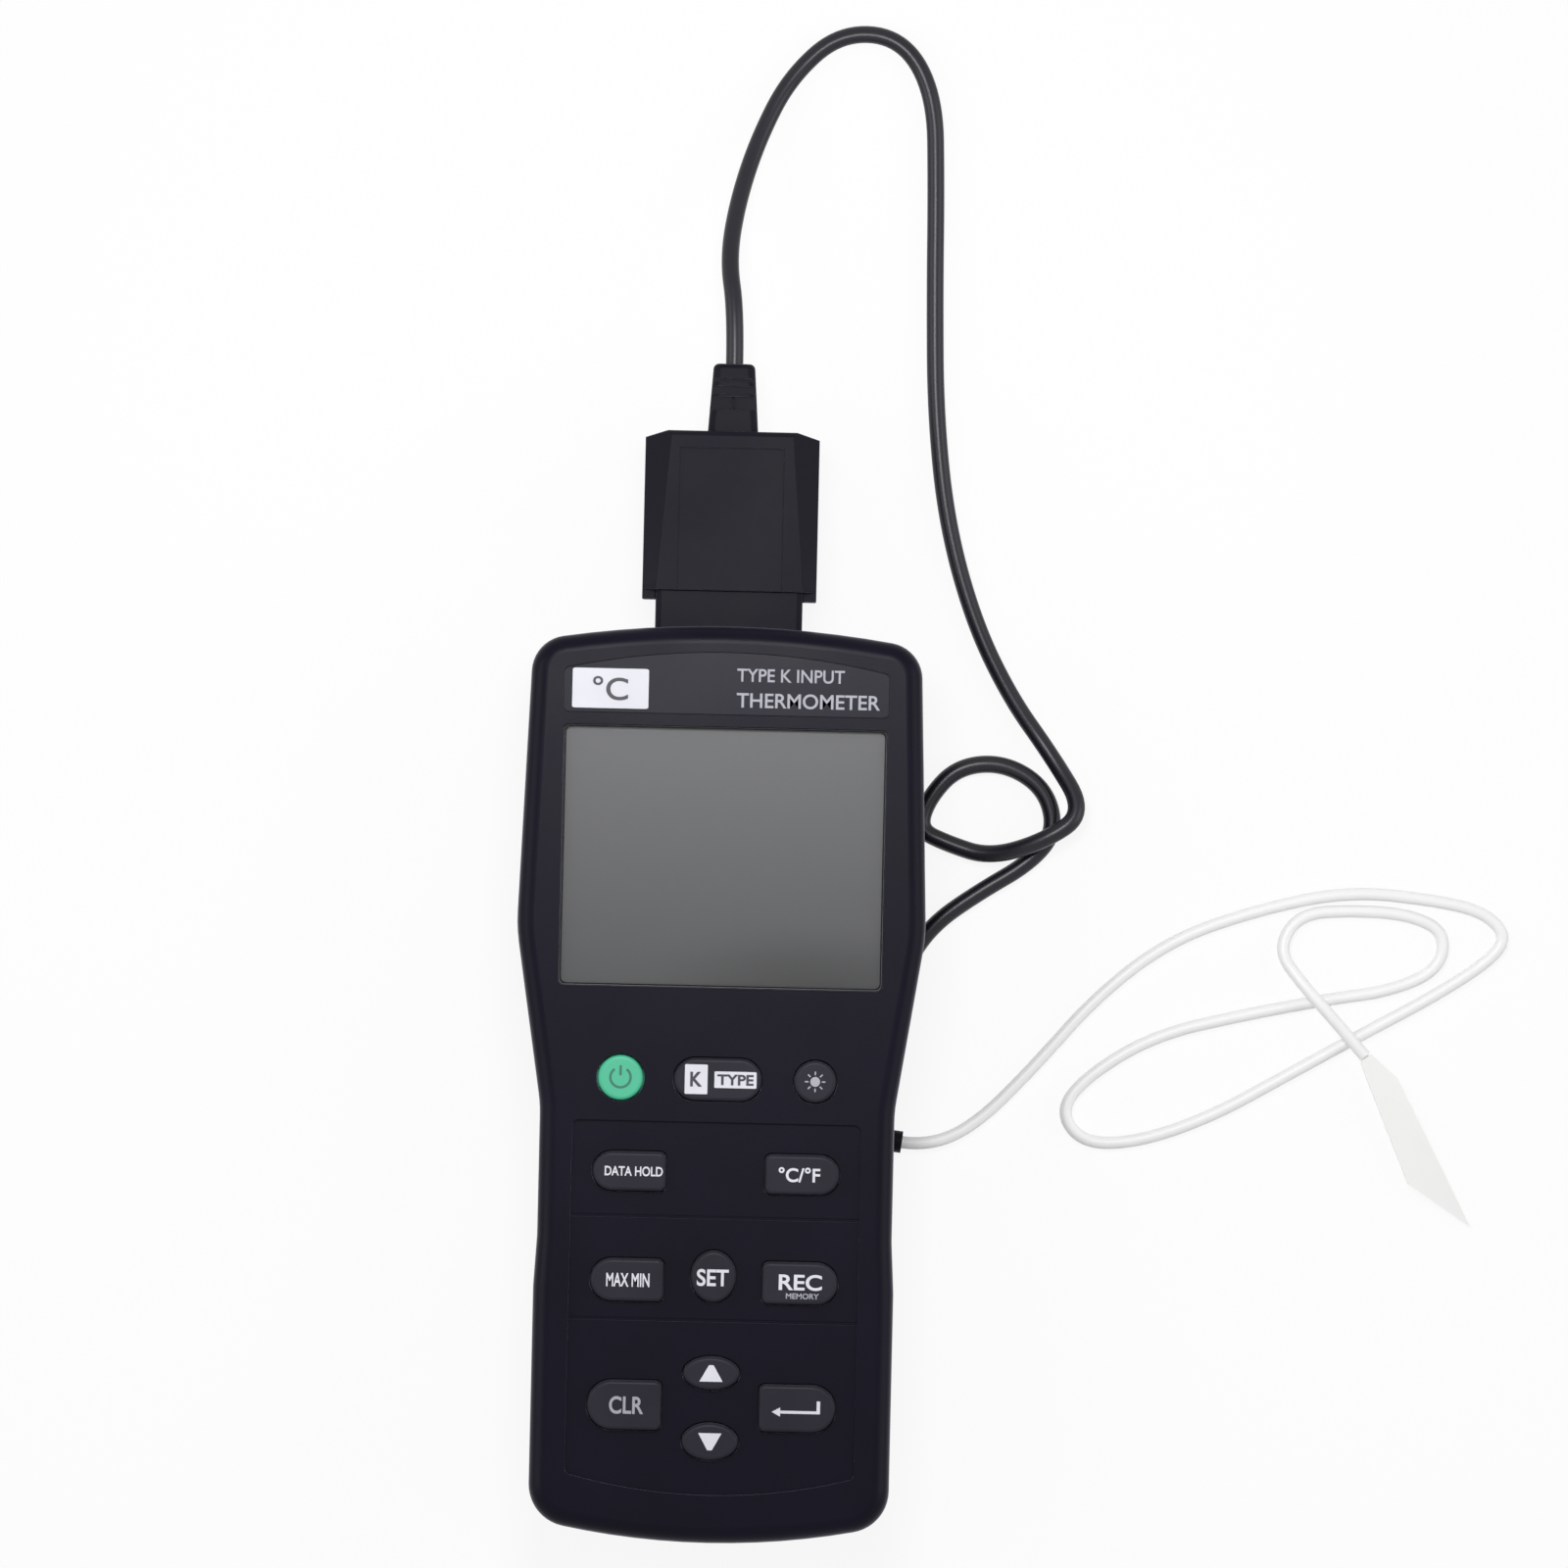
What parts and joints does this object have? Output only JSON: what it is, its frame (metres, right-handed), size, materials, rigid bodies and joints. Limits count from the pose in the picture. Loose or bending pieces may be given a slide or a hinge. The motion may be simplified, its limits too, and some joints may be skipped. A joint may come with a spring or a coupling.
{
  "type": "thermocouple thermometer",
  "caption": "Handheld thermocouple thermometer with a waisted case, large display, keypad and a plug-in probe on a thin cord.",
  "frame": {"origin": "centre of the meter's bounding box, on the back face that it lies on, without the probe", "axes": "+X to the right of the front face, +Y along the meter towards the probe plug, +Z out of the front face"},
  "size_m": [0.1764, 0.2696, 0.0353],
  "materials": {
    "case": "fine matt texture, dark navy charcoal",
    "label": "satin printed overlay",
    "window": "clear, polished",
    "display": "grey liquid crystal glass",
    "dark_plastic": "matt",
    "dark_rubber": "matt",
    "mat_rubber": "matt",
    "key_rubber": "smooth matt",
    "power_rubber": "smooth matt",
    "board": "solder mask",
    "steel": "zinc plated",
    "nickel": "plated contact alloy",
    "cell": "printed sleeve",
    "plug": "fine matt",
    "cord_rubber": "smooth",
    "pale_plastic": "translucent white"
  },
  "bodies": {
    "meter": {"front_case": "case", "rear_case": "case", "case_screws": "steel", "label_plate": "label", "display_window": "window", "display_glass": "display", "display_frame": "dark_plastic", "contact_strips": "dark_rubber", "circuit_board": "board", "board_screws": "steel", "main_chip": "dark_plastic", "buzzer": "dark_plastic", "key_mat": "mat_rubber", "battery_cell_1": "cell", "battery_cell_2": "cell", "battery_cell_3": "cell", "battery_contacts": "steel", "input_socket": "dark_plastic", "socket_contacts": "nickel"},
    "power_button": {"power_key": "power_rubber"},
    "mode_button": {"mode_key": "key_rubber"},
    "light_button": {"light_key": "key_rubber"},
    "hold_button": {"hold_key": "key_rubber"},
    "unit_button": {"unit_key": "key_rubber"},
    "max_min_button": {"max_min_key": "key_rubber"},
    "set_button": {"set_key": "key_rubber"},
    "record_button": {"record_key": "key_rubber"},
    "clear_button": {"clear_key": "key_rubber"},
    "up_button": {"up_key": "key_rubber"},
    "down_button": {"down_key": "key_rubber"},
    "enter_button": {"enter_key": "key_rubber"},
    "door": {"battery_door": "case", "door_screws": "steel"},
    "probe": {"plug_front": "plug", "plug_back": "plug", "plug_nose": "plug", "plug_blades": "nickel", "strain_relief": "cord_rubber", "black_cord": "cord_rubber", "lead_sleeve": "cord_rubber", "pale_lead": "pale_plastic", "sensor_tip": "pale_plastic"}
  },
  "joints": [
    {"name": "power_press", "type": "slide", "parent": "meter", "child": "power_button", "axis": [0, 0, -1], "range_m": [0, 0.001], "stiffness_N_per_m": 900, "deforming": ["key_mat"]},
    {"name": "mode_press", "type": "slide", "parent": "meter", "child": "mode_button", "axis": [0, 0, -1], "range_m": [0, 0.001], "stiffness_N_per_m": 900, "deforming": ["key_mat"]},
    {"name": "light_press", "type": "slide", "parent": "meter", "child": "light_button", "axis": [0, 0, -1], "range_m": [0, 0.001], "stiffness_N_per_m": 900, "deforming": ["key_mat"]},
    {"name": "hold_press", "type": "slide", "parent": "meter", "child": "hold_button", "axis": [0, 0, -1], "range_m": [0, 0.001], "stiffness_N_per_m": 900, "deforming": ["key_mat"]},
    {"name": "unit_press", "type": "slide", "parent": "meter", "child": "unit_button", "axis": [0, 0, -1], "range_m": [0, 0.001], "stiffness_N_per_m": 900, "deforming": ["key_mat"]},
    {"name": "max_min_press", "type": "slide", "parent": "meter", "child": "max_min_button", "axis": [0, 0, -1], "range_m": [0, 0.001], "stiffness_N_per_m": 900, "deforming": ["key_mat"]},
    {"name": "set_press", "type": "slide", "parent": "meter", "child": "set_button", "axis": [0, 0, -1], "range_m": [0, 0.001], "stiffness_N_per_m": 900, "deforming": ["key_mat"]},
    {"name": "record_press", "type": "slide", "parent": "meter", "child": "record_button", "axis": [0, 0, -1], "range_m": [0, 0.001], "stiffness_N_per_m": 900, "deforming": ["key_mat"]},
    {"name": "clear_press", "type": "slide", "parent": "meter", "child": "clear_button", "axis": [0, 0, -1], "range_m": [0, 0.001], "stiffness_N_per_m": 900, "deforming": ["key_mat"]},
    {"name": "up_press", "type": "slide", "parent": "meter", "child": "up_button", "axis": [0, 0, -1], "range_m": [0, 0.001], "stiffness_N_per_m": 900, "deforming": ["key_mat"]},
    {"name": "down_press", "type": "slide", "parent": "meter", "child": "down_button", "axis": [0, 0, -1], "range_m": [0, 0.001], "stiffness_N_per_m": 900, "deforming": ["key_mat"]},
    {"name": "enter_press", "type": "slide", "parent": "meter", "child": "enter_button", "axis": [0, 0, -1], "range_m": [0, 0.001], "stiffness_N_per_m": 900, "deforming": ["key_mat"]},
    {"name": "door_lift_off", "type": "slide", "parent": "meter", "child": "door", "axis": [0, 0, -1], "range_m": [0, 0.02]},
    {"name": "plug_pull", "type": "slide", "parent": "meter", "child": "probe", "axis": [0, 1, 0], "range_m": [0, 0.011]}
  ]
}
